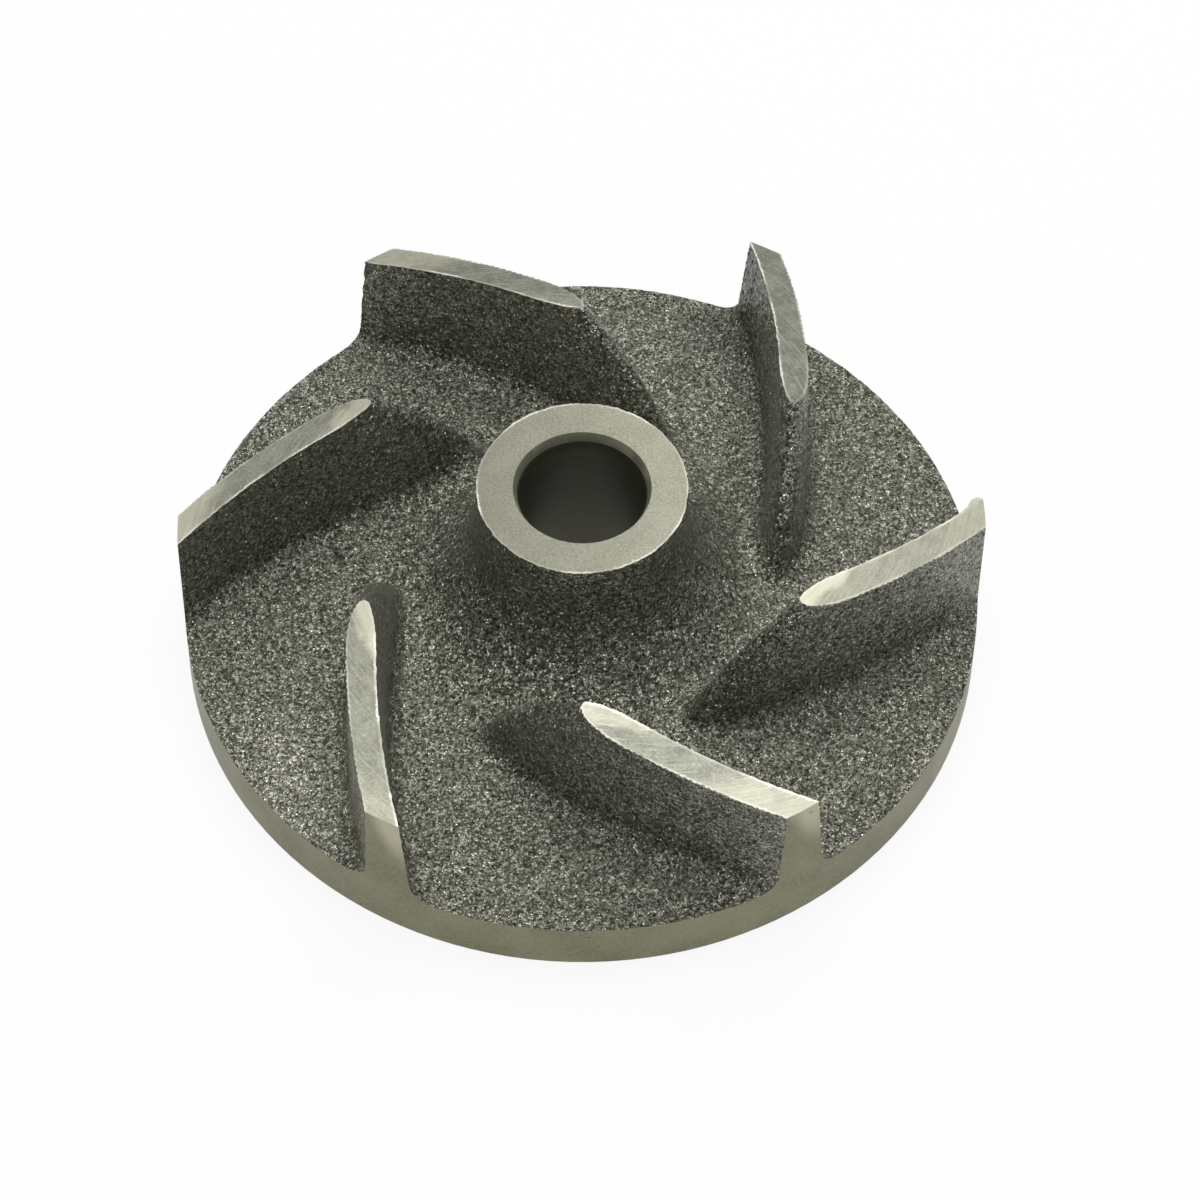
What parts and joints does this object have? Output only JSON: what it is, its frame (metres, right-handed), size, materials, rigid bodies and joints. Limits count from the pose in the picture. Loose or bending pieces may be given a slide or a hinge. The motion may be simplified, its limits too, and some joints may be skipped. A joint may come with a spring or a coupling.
{
  "type": "pump impeller",
  "caption": "Semi-open cast iron pump impeller with curved vanes on a flat back plate and a flared hub bored for a press-fit shaft.",
  "frame": {"origin": "on the bore axis at the turned back face that the impeller rests on", "axes": "+Z along the bore axis towards the inlet side, +X through the middle of the first vane where it leaves the outer cylinder"},
  "size_m": [0.119, 0.119, 0.0356],
  "materials": {
    "casting": "as-cast skin with turned hub face, vane tops, rim and bore"
  },
  "bodies": {
    "root": {"impeller": "casting"}
  },
  "joints": []
}
